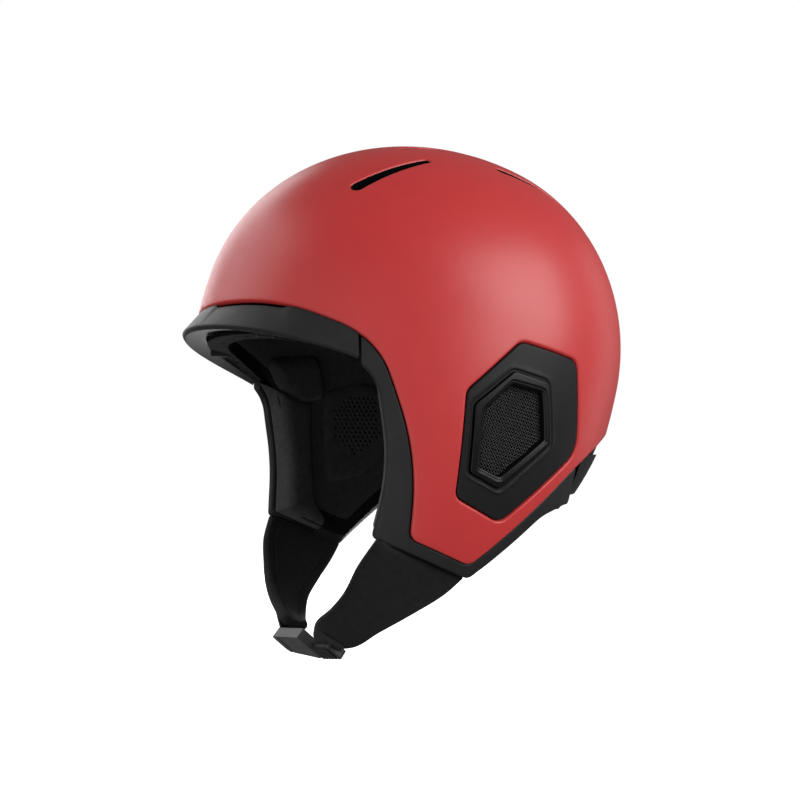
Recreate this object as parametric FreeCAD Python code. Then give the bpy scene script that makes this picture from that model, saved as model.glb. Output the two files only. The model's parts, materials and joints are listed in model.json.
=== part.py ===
import FreeCAD, Part
import math
import os
from FreeCAD import Matrix, Vector

# Water-sports helmet with full ear cover, a clip-on soft peak, acoustic ear vents,
# neoprene cheek flaps closed under the chin by a magnetic buckle, and a rear fit dial.
# Millimetres. +Z is up, the face looks along -Y and +X is the wearer's left.
# The origin is the centre of the head space.

# ---- driving dimensions -------------------------------------------------------------
HALF_WIDTH = 110.0  # half of the width from ear to ear
FRONT = 136.0  # forehead reach of the dome, along its own long axis
REAR = 109.0  # reach of the dome behind the origin
CROWN = 118.0  # height of the dome above the origin
SKIRT = 196.0  # how slowly the walls close in below the widest line
NAPE_SKIRT = 135.0  # the nape panel closes in faster than the shell above it
PITCH = 16.4  # the dome's long axis rises towards the forehead, degrees
SHELL = 2.5  # outer shell wall
LINER = 19.0  # depth of the liner's inner face below the outer surface
TRIM_T = 5.5  # depth of the side trim's inner face in front of the crease
CREASE_Y = -44.0  # behind this the side trim reaches in as far as the liner
PAD = 27.0  # depth of the comfort pads' inner face
TRIM_INSET = 0.8  # side trim and peak, below the shell's outer surface
PANEL_INSET = 0.7  # ear panel, below the shell's outer surface
PANEL_DEPTH = 7.0  # depth of the ear panel's back
NAPE_INSET = 1.3  # outer face of the nape panel
NAPE_WALL = 3.0
PEAK_BACK = 7.7  # depth of the peak's back face
GAP = 0.3  # clearance between neighbouring pieces
SEAM_Y = -83.6  # where the peak meets the side trims
NAPE_Y = 36.0  # where the side trims meet the nape panel
FLAP_T = 4.0  # neoprene cheek flap
REACH = 135.0  # half length of the blocks that cut right through the helmet

ORIGIN = Vector(0, 0, 0)
X = Vector(1, 0, 0)
Y = Vector(0, 1, 0)
Z = Vector(0, 0, 1)

# Side-view outlines: (y, z, corner radius).
SHELL_EDGE = [
    (-200, 20.5, 0), (-118, 16.0, 90), (-77, -5.5, 42), (-59.0, -60, 160), (-58.0, -97.5, 6),
    (-27.0, -111.5, 6), (36, -63.5, 160), (74, -47, 80), (200, -46, 0), (200, 200, 0), (-200, 200, 0),
]
TRIM_EDGE = [
    (-200, 6, 0), (-96, -7.5, 30), (-77.5, -23, 24), (-71.0, -64, 120), (-75.0, -97.5, 3),
    (-25.5, -119.5, 5), (14, -90.5, 30), (38, -84.0, 25), (54, -91, 6), (200, -94, 0),
    (200, 200, 0), (-200, 200, 0),
]
LINER_STRIP = [(-200, 8, 0), (-106, -1.5, 60), (-84.2, -13.5, 0), (-84.2, 30, 0), (-200, 60, 0)]
HEX_WINDOW = [
    (-9.4, -4.5, 7), (26.5, -12.0, 7), (33.0, -58.0, 14),
    (-14.5, -92.0, 8), (-39.5, -79.0, 6), (-37.5, -29.0, 7),
]
HEX_FRAME = [
    (-13.4, -20.0, 3), (6.0, -24.5, 3), (10.5, -54.0, 3),
    (-17.3, -75.0, 3), (-33.5, -67.0, 3), (-33.0, -35.5, 3),
]
HEX_MESH = [
    (-14.0, -25.5, 2), (3.3, -29.0, 2), (6.6, -51.5, 2),
    (-18.0, -69.5, 2), (-29.0, -64.5, 2), (-28.0, -38.5, 2),
]
EAR_PAD = [(-44, -20, 5), (-14, 4, 8), (24, -6, 8), (30, -46, 12), (-6, -86, 10), (-45, -86, 6)]
CHEEK_PAD = [(-70, -30, 5), (-46, -24, 4), (-47, -90, 4), (-68, -94, 5)]
TEMPLE_PAD = [(-98, 8, 5), (-50, 16, 6), (-46, -20, 4), (-66, -26, 6), (-84, -14, 6)]

PIN_X = (-46, 0, 46)  # snap pins of the peak
PIN_R = 2.0

# Vent slots: (distance from the middle plane, front end y, rear end y).
VENTS = [(66.0, -76.5, -38.0), (43.0, -39.0, 6.0), (67.0, 9.0, 50.0)]
VENT_WIDTH = 7.2

# The cheek flap's outer face: front and rear edge points from the ear down to the chin,
# for the +X side. The other side is its mirror image but for the last pair, because that
# end lies on the buckle's tongue and this one on its socket.
FLAP_EDGES = [
    ((83.0, -74.0, -100.5), (81.5, -27.5, -120.5)),
    ((76.0, -78.5, -111.5), (76.5, -34.0, -127.0)),
    ((66.0, -81.0, -124.5), (66.0, -45.5, -136.5)),
    ((54.0, -83.5, -134.0), (54.0, -57.0, -146.0)),
    ((38.0, -85.0, -142.0), (38.0, -64.5, -155.5)),
]
SOCKET_SIDE_END = ((15.0, -78.2, -150.0), (15.0, -75.6, -158.8))
TONGUE_SIDE_END = ((15.0, -84.8, -151.0), (15.0, -70.4, -155.9))
HINGE_R = 2.3  # rolled top edge of the flap, round the hinge axis
CHANNEL_R = 3.6  # channel under the side trim that the rolled edge turns in

# Buckle: each half lies along X with a tilt, square to the strap.
STRAP_ACROSS = Vector(0, 0.743, -0.669).normalize()
STRAP_DOWN = Vector(0, -0.669, -0.743).normalize()
TONGUE_AT = Vector(0, -77.7, -158.0)
TONGUE_TILT = 9.4
TONGUE_T = 5.6  # thickness
SOCKET_AT = Vector(12.3, -73.2, -159.9)
SOCKET_TILT = 14.0
SOCKET_T = 4.4  # thickness
BUCKLE_SPLIT = 12.0  # x of the face where the two halves meet
BUCKLE_W = 18.0  # width of the tongue at its nose
SOCKET_W = 10.0
MAGNET_R = 3.4
TONGUE_MAGNET = 3.0  # distance of the magnet along each half
SOCKET_MAGNET = 6.5
TONGUE_SLOT = -18.0  # distance of the webbing's slot along each half
SOCKET_SLOT = 16.0
WEBBING_W = 14.0
WEBBING_T = 1.2
SOCKET_WEBBING_W = 8.0  # narrowed to pass the socket's slot

# Fit dial: on the middle of the nape panel, its axis along the surface's normal.
DIAL_Z = -70.0
DIAL_R = 13.0
DIAL_T = 7.0
DIAL_BACK = -4.0  # height of the knob's back above the nape panel's face
BEZEL_R = 19.0
SHAFT_R = 3.0
SPOOL_R = 7.0
HOUSING = (20.0, 11.0)  # half sizes of the housing, across and up
GUIDE_X = 32.0  # the cradle's guide tongues, to each side of the dial
CRADLE_R = 74.0  # outer radius of the band
CRADLE_BACK = -23.0  # height of the band's back above the nape panel's face
CRADLE_T = 2.2


# ---- dome geometry ------------------------------------------------------------------
def level(point, inset=0.0, skirt=SKIRT):
    """1 on the dome's surface at that inset, less inside it."""
    c, s = math.cos(math.radians(PITCH)), math.sin(math.radians(PITCH))
    along = c * point.y - s * point.z
    up = s * point.y + c * point.z
    long_axis = (FRONT if along < 0 else REAR) - inset
    tall_axis = (CROWN if up > 0 else skirt) - inset
    wide = HALF_WIDTH - inset
    return math.sqrt((point.x / wide) ** 2 + (along / long_axis) ** 2 + (up / tall_axis) ** 2)


def hit(start, direction, inset=0.0, skirt=SKIRT):
    """Where a ray from inside the dome leaves it."""
    near, far = 0.0, 300.0
    for _ in range(50):
        middle = (near + far) / 2
        if level(start + direction * middle, inset, skirt) < 1:
            near = middle
        else:
            far = middle
    return start + direction * near


def outward(point, skirt=SKIRT):
    """The dome's outward normal at a point, from finite differences."""
    step = 0.05
    slope = []
    for axis in (X, Y, Z):
        slope.append(level(point + axis * step, 0, skirt) - level(point - axis * step, 0, skirt))
    return Vector(*slope).normalize()


def dome(inset, skirt=SKIRT):
    """Solid dome of four quarter ellipsoids that meet without a crease.

    Every half-axis is shorter by the inset.
    """
    quarters = []
    for long_axis, turn in ((REAR, 0), (FRONT, 180)):
        for tall_axis, low, high in ((CROWN, 0, 90), (skirt, -90, 0)):
            quarter = Part.makeSphere(1, ORIGIN, Z, low, high, 180)
            quarter.rotate(ORIGIN, Z, turn)
            stretch = Matrix()
            stretch.scale(HALF_WIDTH - inset, long_axis - inset, tall_axis - inset)
            quarters.append(quarter.transformGeometry(stretch))
    whole = quarters[0].multiFuse(quarters[1:])
    whole.rotate(ORIGIN, X, -PITCH)
    return whole


def layer(outer, inner, skirt=SKIRT):
    """The dome's wall between two insets."""
    return dome(outer, skirt).cut(dome(inner))


# ---- outlines -----------------------------------------------------------------------
def on_side(u, v):
    return Vector(0, u, v)


def on_top(u, v):
    return Vector(u, v, 0)


def on_frame(origin, right, up):
    return lambda u, v: origin + right * u + up * v


def rounded(corners, place):
    """Closed wire through the corners, each rounded to its own radius."""
    runs = []
    count = len(corners)
    for i, (u, v, radius) in enumerate(corners):
        here = Vector(u, v, 0)
        before = (Vector(*corners[i - 1][:2], 0) - here).normalize()
        after = (Vector(*corners[(i + 1) % count][:2], 0) - here).normalize()
        half = before.getAngle(after) / 2
        if radius <= 0:
            runs.append((here, None, here))
            continue
        reach = radius / math.tan(half)
        inward = (before + after).normalize()
        middle = here + inward * (radius / math.sin(half) - radius)
        runs.append((here + before * reach, middle, here + after * reach))
    edges = []
    for i, (start, middle, end) in enumerate(runs):
        if middle is not None:
            edges.append(Part.Arc(*(place(p.x, p.y) for p in (start, middle, end))).toShape())
        following = runs[(i + 1) % count][0]
        edges.append(Part.makeLine(place(end.x, end.y), place(following.x, following.y)))
    return Part.Wire(edges)


def side_block(corners, grow=0.0, low=-REACH, high=REACH):
    """A side-view outline run across the helmet, grown or shrunk by an offset."""
    wire = rounded(corners, on_side)
    if grow:
        wire = wire.makeOffset2D(grow)
    block = Part.Face(wire).extrude(X * (high - low))
    block.translate(X * low)
    return block


def half_space(axis, value, keep_low=True):
    """A big box on one side of a plane square to Y or Z or X."""
    size = 400.0
    corner = Vector(-size / 2, -size / 2, -size / 2)
    shift = value - size / 2 if keep_low else value + size / 2
    return Part.makeBox(size, size, size, corner + axis * shift)


def mirrored(shape):
    """The other side of the helmet."""
    return shape.mirror(ORIGIN, X)


def rounded_plate(origin, right, up, out, corners, low, high):
    """Plate with a rounded outline in a local frame, between two heights."""
    face = Part.Face(rounded(corners, on_frame(origin + out * low, right, up)))
    return face.extrude(out * (high - low))


def rectangle(half_u, half_v, radius, at_u=0.0, at_v=0.0):
    """Corners of a rectangle with rounded corners, for rounded()."""
    return [
        (at_u - half_u, at_v - half_v, radius), (at_u + half_u, at_v - half_v, radius),
        (at_u + half_u, at_v + half_v, radius), (at_u - half_u, at_v + half_v, radius),
    ]


# ---- vents --------------------------------------------------------------------------
def vent_frame(x, front_y, rear_y):
    """Middle, lengthwise, sideways and outward directions and length of one slot."""
    front = hit(Vector(x, front_y, 0), Z)
    rear = hit(Vector(x, rear_y, 0), Z)
    middle = hit(Vector(x, (front_y + rear_y) / 2, 0), Z)
    along = (rear - front).normalize()
    out = outward(middle)
    out = (out - along * out.dot(along)).normalize()
    return middle, along, out.cross(along), out, (rear - front).Length


def vent_cutters(extra, depth_in):
    """Round-ended slots for both sides, that much wider than the vents, cut to a depth."""
    cutters = []
    for vent in VENTS:
        middle, along, aside, out, length = vent_frame(*vent)
        half_w = VENT_WIDTH / 2 + extra
        end = rectangle(length / 2 + extra, half_w, half_w - 0.01)
        slot = rounded_plate(middle, along, aside, out, end, -depth_in, 12)
        cutters += [slot, mirrored(slot)]
    return cutters


# ---- shell, liner and trims ---------------------------------------------------------
def make_shell():
    shell = layer(0, SHELL).common(side_block(SHELL_EDGE))
    shell = shell.cut(side_block(HEX_WINDOW))
    return shell.cut(vent_cutters(0, 14))


def make_liner():
    liner = layer(SHELL + GAP, LINER).common(side_block(SHELL_EDGE, -GAP))
    strip = layer(8, LINER).common(side_block(LINER_STRIP))
    liner = liner.fuse(strip)
    recess = side_block(HEX_WINDOW, GAP).cut(dome(PANEL_DEPTH + GAP))
    liner = liner.cut([recess, side_block(HEX_MESH)] + vent_cutters(1.0, 40))
    return liner.cut([peak_pin(x, PIN_R + GAP, 1.0) for x in PIN_X])


def make_side_trim():
    """Trim below the shell, thin in front of the crease and solid behind it."""
    trim = layer(TRIM_INSET, LINER).common(side_block(TRIM_EDGE, 0, 20))
    trim = trim.cut(dome(TRIM_T).common(half_space(Y, CREASE_Y)))
    front, rear = hinge_line()
    room = Part.makeCylinder(CHANNEL_R, 60, front + (front - rear).normalize() * 5, rear - front)
    trim = trim.cut([side_block(SHELL_EDGE, GAP), half_space(Y, SEAM_Y), room])
    return trim.common(half_space(Y, NAPE_Y))


def nape_wall(outer, hollow):
    """Wall under the shell's rear edge, from an inset in to a hollow."""
    wall = dome(outer, NAPE_SKIRT).cut(hollow).common(side_block(TRIM_EDGE))
    wall = wall.cut([side_block(SHELL_EDGE, GAP), half_space(Y, NAPE_Y + GAP)])
    return wall.cut(dial_room())


def make_nape_panel():
    return nape_wall(NAPE_INSET, dome(NAPE_INSET + NAPE_WALL, NAPE_SKIRT))


def make_nape_foam():
    return nape_wall(NAPE_INSET + NAPE_WALL + 0.2, dome(LINER))


def make_nape_cover():
    """Raised band round the back of the nape panel, with a bezel round the dial."""
    raised = dome(-0.5, NAPE_SKIRT).cut(dome(NAPE_INSET, NAPE_SKIRT)).common(half_space(Y, 44, False))
    low, high = DIAL_Z - 10.5, DIAL_Z + 11.0
    band = raised.common(half_space(Z, high)).common(half_space(Z, low, False))
    bezel = raised.common(dial_cylinder(BEZEL_R, -12, 12))
    return band.fuse(bezel).cut(dial_room())


def make_side_panel():
    panel = layer(PANEL_INSET, PANEL_DEPTH).common(side_block(HEX_WINDOW, -0.35, 40))
    return panel.cut(side_block(HEX_FRAME, 0.2))


def make_vent_frame():
    ring = layer(-0.6, 5).common(side_block(HEX_FRAME, 0, 40))
    return ring.cut(side_block(HEX_MESH))


def make_ear_mesh():
    return layer(3.0, 4.0).common(side_block(HEX_MESH, -0.2, 40))


def make_side_pad(outline, depth):
    return layer(LINER + GAP, depth).common(side_block(outline, 0, 30))


# ---- peak ---------------------------------------------------------------------------
def peak_section(azimuth):
    """Section of the peak in the upright plane at that angle from the front.

    The lip stands proud in the middle, and dies away where the peak turns down to the trims.
    """
    radial = Vector(math.sin(azimuth), -math.cos(azimuth), 0)
    front = hit(ORIGIN + Z * 10, radial)
    forward = max(0.0, math.cos(azimuth * 1.9)) ** 0.8
    edge_z = 16.0 - 0.52 * (front.y + 118)
    if front.y < -118:
        edge_z = 20.5 - 4.5 * max(0.0, (front.y + FRONT) / 18)
    top_z = edge_z + 3.0  # above the shell's edge, which trims it
    lip_z = -15.0 + 20.5 * forward
    flare = 7.0 * forward
    lip = hit(ORIGIN + Z * lip_z, radial, TRIM_INSET) + radial * flare
    points = [
        hit(ORIGIN + Z * top_z, radial, TRIM_INSET),
        lip,
        lip - radial * 1.2 - Z * 2.0,
        hit(ORIGIN + Z * (lip_z - 1.5), radial, PEAK_BACK),
        hit(ORIGIN + Z * top_z, radial, PEAK_BACK),
    ]
    return Part.makePolygon(points + points[:1])


def make_peak():
    steps = 12
    sweep = math.radians(52)
    sections = [peak_section(-sweep + 2 * sweep * i / steps) for i in range(steps + 1)]
    peak = Part.makeLoft(sections, True, False)
    for cutter in (half_space(Y, SEAM_Y - GAP, False), side_block(SHELL_EDGE, 0.4), dome(PEAK_BACK)):
        peak = peak.cut(cutter)
    return peak.cut(make_peak_pins())


def peak_pin(x, radius, extra):
    """Snap pin set into the back of the peak and pushed straight back into the liner."""
    start = hit(Vector(x, 0, 5.0 - abs(x) * 0.12), -Y, 5.5)
    return Part.makeCylinder(radius, 9.0 + extra, start, Y)


def make_peak_pins():
    return Part.makeCompound([peak_pin(x, PIN_R, 0) for x in PIN_X])


# ---- comfort pads -------------------------------------------------------------------
def make_brow_pad():
    block = Part.makeBox(124, 100, 26, Vector(-62, -190, 20))
    return layer(LINER + GAP, PAD - 1).common(block)


def make_crown_pad():
    pads = layer(LINER + GAP, PAD - 1).common(half_space(Z, 40, False))
    cross = [rectangle(12, 62, 8, 0, -4), rectangle(46, 12, 8, 0, -6)]
    blocks = [Part.Face(rounded(arm, on_top)).extrude(Z * 140) for arm in cross]
    return pads.common(blocks[0].fuse(blocks[1]))


def make_cheek_pad():
    """Pad on the liner and behind the thin part of the trim."""
    outline = side_block(CHEEK_PAD, 0, 30)
    behind_trim = layer(TRIM_T + GAP, PAD - 2).common(outline).cut(side_block(SHELL_EDGE, GAP))
    return layer(LINER + GAP, PAD - 2).common(outline).fuse(behind_trim)


# ---- fit dial and cradle ------------------------------------------------------------
def dial_axes():
    """Point on the nape panel's surface, up along it, and outward."""
    at = hit(Vector(0, 0, DIAL_Z), Y, NAPE_INSET, NAPE_SKIRT)
    out = outward(at, NAPE_SKIRT)
    return at, Vector(0, -out.z, out.y), out


def dial_cylinder(radius, low, high):
    at, _, out = dial_axes()
    return Part.makeCylinder(radius, high - low, at + out * low, out)


def dial_box(half_x, half_up, low, high, radius=3.0, at_x=0.0):
    at, up, out = dial_axes()
    return rounded_plate(at, X, up, out, rectangle(half_x, half_up, radius, at_x), low, high)


def dial_room():
    """What the nape panel and its cover leave free for the dial and its housing."""
    return [
        dial_cylinder(DIAL_R + 1.2, -4.3, 12),
        dial_cylinder(5.0 + GAP, -20, 0),
        dial_box(HOUSING[0] + GAP, HOUSING[1] + GAP, -40, -9.0 + GAP),
        dial_box(4.3, 3.3, -40, -9.5, 1.0, GUIDE_X),
        dial_box(4.3, 3.3, -40, -9.5, 1.0, -GUIDE_X),
    ]


def make_dial_knob():
    front = DIAL_BACK + DIAL_T
    knob = dial_cylinder(DIAL_R, DIAL_BACK, front)
    at, up, out = dial_axes()
    notches = []
    for i in range(18):
        turn = 2 * math.pi * i / 18
        rim = at + (X * math.cos(turn) + up * math.sin(turn)) * (DIAL_R + 0.8)
        notches.append(Part.makeCylinder(1.6, DIAL_T, rim + out * -2.4, out))
    dimple = Part.makeSphere(26, at + out * (front + 24.4))
    screw_room = [dial_cylinder(2.4, -1.0, 12), dial_cylinder(SHAFT_R - 1.0, DIAL_BACK, 0)]
    return knob.cut(notches + [dimple] + screw_room)


def make_dial_screw():
    head = dial_cylinder(2.35, -1.0, 0.4)
    return head.fuse(dial_cylinder(SHAFT_R - 1.05, -7.0, -1.0))


def make_dial_shaft():
    return dial_cylinder(SHAFT_R, -13.0, DIAL_BACK).cut(dial_cylinder(SHAFT_R - 1.0, -7.2, DIAL_BACK))


def make_lace_spool():
    spool = dial_cylinder(SPOOL_R, -16.5, -13.0)
    groove = dial_cylinder(8.0, -15.5, -14.0).cut(dial_cylinder(5.2, -15.5, -14.0))
    return spool.cut(groove)


def make_dial_housing():
    """Cup with a bush round the shaft; the spool turns inside it."""
    cup = dial_box(*HOUSING, -18.5, -9.0)
    bush = dial_cylinder(5.0, -9.5, -4.6)
    room = dial_cylinder(SPOOL_R + 0.4, -17.0, -12.6)
    lace_way = dial_box(19.0, 0.8, -15.6, -13.9, 0.3)
    return cup.fuse(bush).cut([room, dial_cylinder(SHAFT_R + 0.05, -20, 0), lace_way])


def make_housing_lid():
    return dial_box(*HOUSING, -20.5, -18.8)


def cradle_axes():
    """Centre of the band's curve, up along it, and outward."""
    at, up, out = dial_axes()
    return at + out * (CRADLE_BACK - CRADLE_R), up, out


def make_cradle():
    """Curved band that bears on the back of the head, with a guide tongue at each side."""
    centre, up, out = cradle_axes()
    disc = Part.makeCylinder(CRADLE_R, 26, centre - up * 13, up)
    bore = Part.makeCylinder(CRADLE_R - CRADLE_T, 30, centre - up * 15, up)
    window = rounded_plate(centre, X, up, out, rectangle(58, 13, 9), 0, CRADLE_R + 5)
    band = disc.cut(bore).common(window)
    gaps = [rounded_plate(centre, X, up, out, rectangle(11, 6, 4, x), 0, CRADLE_R + 5) for x in (-34, 34)]
    return band.cut(gaps)


def make_cradle_tongues():
    tongues = [dial_box(4.0, 3.0, -30.5, -12, 1.0, x) for x in (-GUIDE_X, GUIDE_X)]
    centre, up, _ = cradle_axes()
    trim = Part.makeCylinder(CRADLE_R + 0.01, 40, centre - up * 20, up)
    return Part.makeCompound([tongue.cut(trim) for tongue in tongues])


def make_cradle_pads():
    centre, up, out = cradle_axes()
    outer = CRADLE_R - CRADLE_T - 0.05
    bore = Part.makeCylinder(outer - 4, 26, centre - up * 13, up)
    ring = Part.makeCylinder(outer, 22, centre - up * 11, up).cut(bore)
    pads = []
    for x in (-36, 36):
        window = rounded_plate(centre, X, up, out, rectangle(18, 11, 6, x), 0, outer + 5)
        pads.append(ring.common(window))
    return Part.makeCompound(pads)


# ---- cheek flaps and buckle ---------------------------------------------------------
def flap_stations(last):
    """Front and rear edge points of the outer face, with the outward normal at each pair."""
    pairs = [(Vector(*front), Vector(*rear)) for front, rear in FLAP_EDGES + [last]]
    middles = [(front + rear) * 0.5 for front, rear in pairs]
    stations = []
    for i, (front, rear) in enumerate(pairs):
        run = middles[min(i + 1, len(pairs) - 1)] - middles[max(i - 1, 0)]
        stations.append((front, rear, run.cross(rear - front).normalize()))
    return stations


def sheet_loft(stations, low, high):
    """Solid between two heights above the stations' outer face."""
    wires = []
    for front, rear, out in stations:
        corners = [front + out * low, rear + out * low, rear + out * high, front + out * high]
        wires.append(Part.makePolygon(corners + corners[:1]))
    return Part.makeLoft(wires, True, False)


def hinge_line():
    """Ends of the flap's hinge axis, just inside its outer face."""
    front, rear, out = flap_stations(SOCKET_SIDE_END)[0]
    return front - out * HINGE_R, rear - out * HINGE_R


def make_cheek_flap(last):
    sheet = sheet_loft(flap_stations(last), -FLAP_T, 0)
    front, rear = hinge_line()
    roll = Part.makeCylinder(HINGE_R, (rear - front).Length, front, rear - front)
    room = Part.makeCylinder(CHANNEL_R + GAP, 80, front * 1.2 - rear * 0.2, rear - front)
    above = sheet.common(room)
    return sheet.cut(above).fuse([roll, above.common(flap_root())])


def flap_root():
    """The slab in which the flap leaves its rolled edge and passes out of the channel."""
    stations = flap_stations(SOCKET_SIDE_END)[:2]
    return sheet_loft(stations, -HINGE_R - 1.2, -HINGE_R + 1.2)


def make_flap_channel():
    """Half-round channel fixed under the side trim, round the flap's rolled edge."""
    front, rear = hinge_line()
    length = (rear - front).Length
    tube = Part.makeCylinder(CHANNEL_R, length, front, rear - front)
    bore = Part.makeCylinder(HINGE_R + GAP, length, front, rear - front)
    along = (rear - front).normalize()
    upward = along.cross(X).normalize()
    if upward.z < 0:
        upward = upward * -1
    opening = Part.makeBox(20, 20, length + 2)
    opening.translate(Vector(-10, -20, -1))
    frame = FreeCAD.Placement(front, FreeCAD.Rotation(along.cross(upward) * -1, upward, along, "ZXY"))
    opening.Placement = frame.multiply(opening.Placement)
    return tube.cut([bore, opening]).common(dome(0))


def tilted(tilt):
    """Directions along, across and outward of a buckle half at that tilt."""
    c, s = math.cos(math.radians(tilt)), math.sin(math.radians(tilt))
    return X * c - STRAP_DOWN * s, STRAP_ACROSS, STRAP_DOWN * c + X * s


def buckle_plate(at, tilt, corners, low, high):
    along, across, out = tilted(tilt)
    return rounded_plate(at, along, across, out, corners, low, high)


def buckle_disc(at, tilt, distance, radius, low, high):
    along, _, out = tilted(tilt)
    return Part.makeCylinder(radius, high - low, at + along * distance + out * low, out)


def socket_block():
    """Outer form of the buckle's ribbed half."""
    top = SOCKET_T / 2
    return buckle_plate(SOCKET_AT, SOCKET_TILT, rectangle(10, SOCKET_W / 2, 2.0, 10), -top, top)


def tongue_block():
    """Outer form of the buckle's tapered half."""
    half, top = BUCKLE_W / 2, TONGUE_T / 2
    nose = BUCKLE_SPLIT - 0.3
    side = [(-25, half - 2, 3), (-6, half - 1, 12), (nose, half, 0.8)]
    outline = [(along, -across, radius) for along, across, radius in side] + side[::-1]
    return buckle_plate(TONGUE_AT, TONGUE_TILT, outline, -top, top)


def make_buckle_socket():
    """Ribbed block at the end of the +X flap, with a magnet pocket and a webbing slot."""
    half, top = SOCKET_W / 2, SOCKET_T / 2
    cuts = [buckle_disc(SOCKET_AT, SOCKET_TILT, SOCKET_MAGNET, MAGNET_R + 0.2, -1.2, 1.4)]
    for distance in (3, 6, 9, 12, 15):
        rib = rectangle(0.6, half + 2, 0.3, distance)
        cuts.append(buckle_plate(SOCKET_AT, SOCKET_TILT, rib, top - 0.6, top + 1))
    cuts.append(buckle_plate(SOCKET_AT, SOCKET_TILT, rectangle(1.2, 3.8, 0.6, SOCKET_SLOT), -5, 5))
    return socket_block().cut(cuts)


def make_buckle_tongue():
    """Tapered plate on the -X flap, its nose against the socket's end."""
    slot = buckle_plate(TONGUE_AT, TONGUE_TILT, rectangle(1.5, 6.2, 0.8, TONGUE_SLOT), -9, 9)
    pocket = buckle_disc(TONGUE_AT, TONGUE_TILT, TONGUE_MAGNET, MAGNET_R + 0.2, -1.2, 1.4)
    return tongue_block().cut([slot, pocket])


def make_magnet(at, tilt, distance):
    return buckle_disc(at, tilt, distance, MAGNET_R, -1.0, 1.2)


def make_webbing(last, first, end, end_width, sign):
    """Strap webbing on the outside of a flap, from its first station to a buckle half."""
    stations = []
    for front, rear, out in flap_stations(last)[first:5]:
        middle, across = (front + rear) * 0.5 + out, (rear - front).normalize()
        stations.append((middle - across * WEBBING_W / 2, middle + across * WEBBING_W / 2, out))
    half = STRAP_ACROSS * end_width / 2
    stations.append((end - half, end + half, STRAP_DOWN))
    strip = sheet_loft(stations, -WEBBING_T / 2, WEBBING_T / 2)
    return strip if sign > 0 else mirrored(strip)


def largest(shape):
    """The main solid, without the scraps that a cut leaves."""
    return max(shape.Solids, key=lambda solid: solid.Volume)


# ---- everything ---------------------------------------------------------------------
def build():
    socket_web_end = SOCKET_AT + tilted(SOCKET_TILT)[0] * SOCKET_SLOT
    tongue_web_end = TONGUE_AT + tilted(TONGUE_TILT)[0] * TONGUE_SLOT
    tongue_web_end.x = -tongue_web_end.x
    flap_left = make_cheek_flap(SOCKET_SIDE_END).cut(socket_block())
    flap_right = mirrored(make_cheek_flap(TONGUE_SIDE_END))
    webbing_left = make_webbing(SOCKET_SIDE_END, 4, socket_web_end, SOCKET_WEBBING_W, 1)
    webbing_right = make_webbing(TONGUE_SIDE_END, 3, tongue_web_end, WEBBING_W, -1)
    parts = {
        "outer_shell": make_shell(),
        "impact_liner": make_liner(),
        "nape_panel": make_nape_panel(),
        "nape_foam": make_nape_foam(),
        "nape_cover": make_nape_cover(),
        "peak": make_peak(),
        "peak_snap_pins": make_peak_pins(),
        "brow_pad": make_brow_pad(),
        "crown_pad": make_crown_pad(),
        "dial_knob": make_dial_knob(),
        "dial_screw": make_dial_screw(),
        "dial_shaft": make_dial_shaft(),
        "lace_spool": make_lace_spool(),
        "dial_housing": make_dial_housing(),
        "dial_housing_lid": make_housing_lid(),
        "fit_cradle": make_cradle(),
        "cradle_guide_tongues": make_cradle_tongues(),
        "cradle_pads": make_cradle_pads(),
        "cheek_flap_left": flap_left,
        "cheek_flap_right": flap_right,
        "buckle_socket": make_buckle_socket(),
        "socket_magnet": make_magnet(SOCKET_AT, SOCKET_TILT, SOCKET_MAGNET),
        "buckle_tongue": make_buckle_tongue(),
        "tongue_magnet": make_magnet(TONGUE_AT, TONGUE_TILT, TONGUE_MAGNET),
        "chin_webbing_left": largest(webbing_left.cut(flap_left).cut(socket_block())),
        "chin_webbing_right": largest(webbing_right.cut(flap_right).cut(tongue_block())),
    }
    paired = {
        "side_trim": make_side_trim(),
        "flap_channel": make_flap_channel(),
        "side_panel": make_side_panel(),
        "ear_vent_frame": make_vent_frame(),
        "ear_mesh": make_ear_mesh(),
        "ear_pad": make_side_pad(EAR_PAD, PAD),
        "cheek_pad": make_cheek_pad(),
        "temple_pad": make_side_pad(TEMPLE_PAD, PAD - 2),
    }
    for name, shape in paired.items():
        parts[name + "_left"] = shape
        parts[name + "_right"] = mirrored(shape)
    return parts


os.makedirs("parts", exist_ok=True)
for name, shape in build().items():
    solids = shape.Solids
    kept = solids[0] if len(solids) == 1 else Part.makeCompound(solids)
    print(f"{name:24s} solids {len(solids):2d} valid {kept.isValid()} volume {kept.Volume:10.0f}")
    kept.exportStep(f"parts/{name}.step")
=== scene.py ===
import json
import bmesh
import bpy
import numpy as np
from math import acos, atan2, ceil, cos, pi, radians, sin, tan
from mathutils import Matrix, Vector, geometry


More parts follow.
